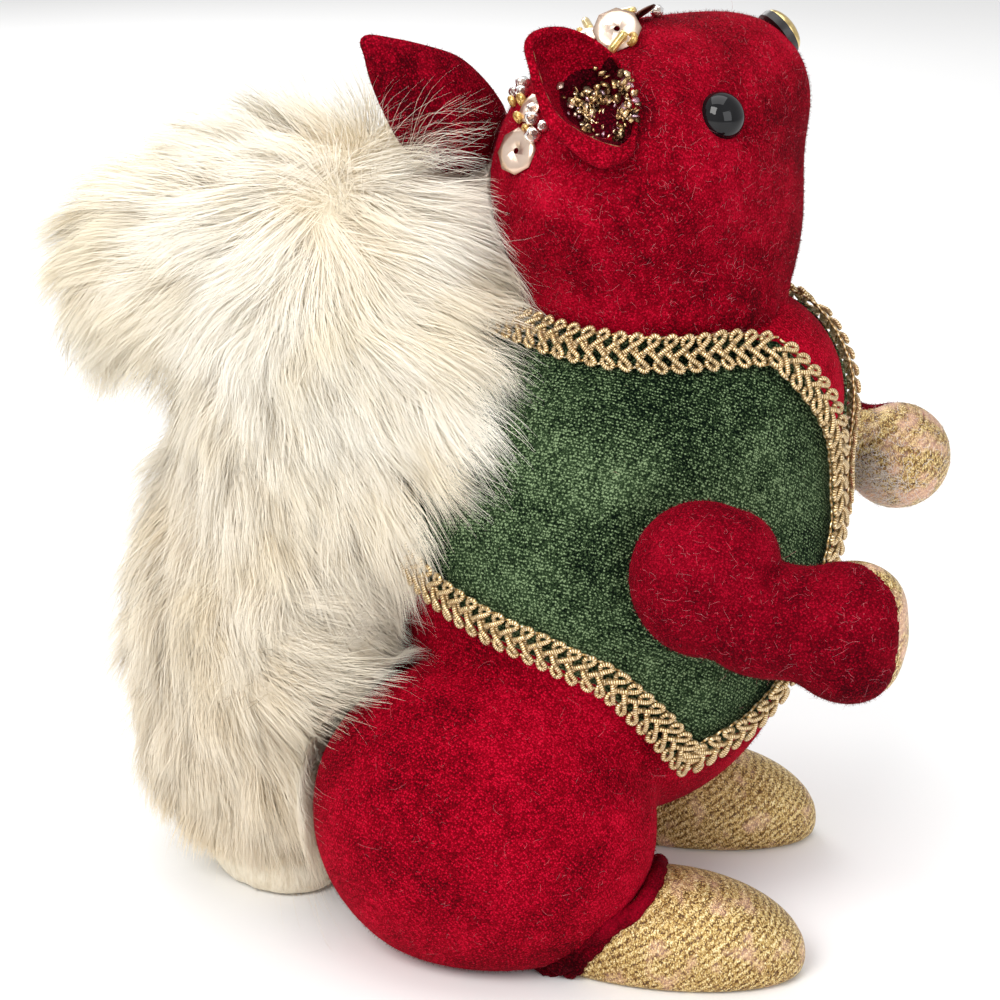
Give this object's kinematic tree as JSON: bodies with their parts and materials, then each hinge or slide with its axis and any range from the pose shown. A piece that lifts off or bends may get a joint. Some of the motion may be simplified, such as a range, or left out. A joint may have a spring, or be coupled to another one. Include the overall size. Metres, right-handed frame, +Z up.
{
  "type": "squirrel figurine",
  "caption": "Sitting stuffed velvet squirrel ornament with a braided vest, bushy faux fur tail, beaded crown and thread-jointed swinging arms.",
  "frame": {"origin": "centre of the bounding box on the surface that the figurine stands on", "axes": "+Z up, the squirrel faces -Y, its right side is -X"},
  "size_m": [0.1051, 0.1603, 0.1684],
  "materials": {
    "red_velvet": "crushed velvet, crimson",
    "dark_red_velvet": "crushed velvet, crimson, gathered",
    "green_velvet": "stretch velvet, bottle green",
    "gold_lurex": "metallic knit",
    "gold_gimp": "metallic gimp braid",
    "gold_glitter": "glitter",
    "rose_gold_sequin": "metallised, rose gold",
    "gold_bead": "gold lined glass",
    "clear_bead": "clear glass",
    "black_eye": "gloss",
    "gold_plastic": "metallised, pale gold",
    "black_plastic": "satin",
    "white_plastic": "matte",
    "cream_fur": "long pile faux fur, ivory",
    "cream_pile": "short pile faux fur, ivory",
    "steel_wire": "annealed wire",
    "pellet_cotton": "cotton bag with plastic pellets",
    "card": "grey board",
    "waxed_thread": "waxed thread",
    "wadding": "polyester fibre"
  },
  "bodies": {
    "body": {"ankle_cuff_left": "dark_red_velvet", "ankle_cuff_right": "dark_red_velvet", "arm_joint_thread": "waxed_thread", "clear_glass_beads": "clear_bead", "ear_cord_left": "gold_gimp", "ear_cord_right": "gold_gimp", "ear_glitter_left": "gold_glitter", "ear_glitter_right": "gold_glitter", "ear_left": "red_velvet", "ear_lining_left": "red_velvet", "ear_lining_right": "red_velvet", "ear_right": "red_velvet", "eye_left": "black_eye", "eye_right": "black_eye", "eye_washer_left": "white_plastic", "eye_washer_right": "white_plastic", "foot_cover_left": "gold_lurex", "foot_cover_right": "gold_lurex", "foot_stuffing_left": "wadding", "foot_stuffing_right": "wadding", "front_braid_left": "gold_gimp", "front_braid_right": "gold_gimp", "gold_bugle_beads": "gold_bead", "gold_seed_beads": "gold_bead", "haunch_cover_left": "red_velvet", "haunch_cover_right": "red_velvet", "haunch_stuffing_left": "wadding", "haunch_stuffing_right": "wadding", "head_cover": "red_velvet", "head_stuffing": "wadding", "hem_braid": "gold_gimp", "neck_braid": "gold_gimp", "nose_dome": "gold_plastic", "nose_flange": "black_plastic", "nose_washer": "white_plastic", "pellet_bag": "pellet_cotton", "sequins": "rose_gold_sequin", "sole_board_left": "card", "sole_board_right": "card", "tail_base_patch": "cream_pile", "tail_fur_cover": "cream_fur", "tail_stuffing": "wadding", "tail_wire": "steel_wire", "torso_cover": "red_velvet", "torso_stuffing": "wadding", "vest": "green_velvet"},
    "arm_right": {"arm_cover_right": "red_velvet", "arm_disc_right": "white_plastic", "arm_stuffing_right": "wadding", "palm_right": "gold_lurex"},
    "arm_left": {"arm_cover_left": "red_velvet", "arm_disc_left": "white_plastic", "arm_stuffing_left": "wadding", "palm_left": "gold_lurex"}
  },
  "joints": [
    {"name": "arm_right_swing", "type": "hinge", "parent": "body", "child": "arm_right", "pos_m": [-0.041, -0.042, 0.0805], "axis": [1, 0, 0], "range_deg": [-30, 30]},
    {"name": "arm_left_swing", "type": "hinge", "parent": "body", "child": "arm_left", "pos_m": [0.041, -0.042, 0.0805], "axis": [1, 0, 0], "range_deg": [-30, 30]}
  ]
}
